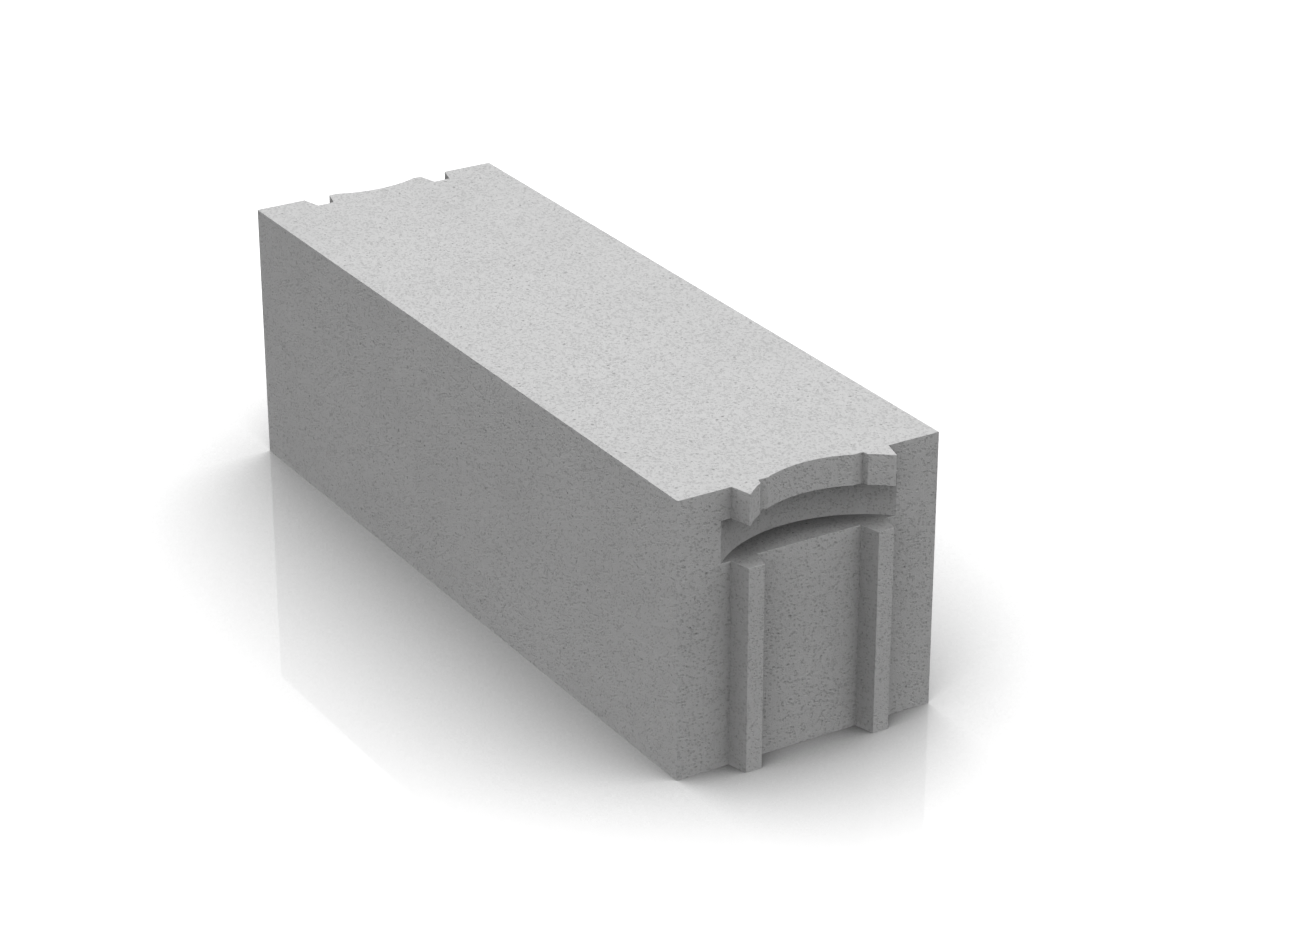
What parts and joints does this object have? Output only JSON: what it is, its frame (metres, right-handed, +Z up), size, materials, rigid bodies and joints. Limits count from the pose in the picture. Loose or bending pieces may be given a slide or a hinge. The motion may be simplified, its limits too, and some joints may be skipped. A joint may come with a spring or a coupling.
{
  "type": "aerated concrete block",
  "caption": "Wall block with tongues on one end, matching grooves on the other, and a stepped grip pocket milled under the top edge of each end.",
  "frame": {"origin": "centre of the bottom bed face, midway between the two end faces without the tongues", "axes": "+Z up, +X along the block towards the tongues, +Y across the wall"},
  "size_m": [0.615, 0.2, 0.2],
  "materials": {
    "aerated_concrete": "matte"
  },
  "bodies": {
    "root": {"aerated_block": "aerated_concrete"}
  },
  "joints": []
}
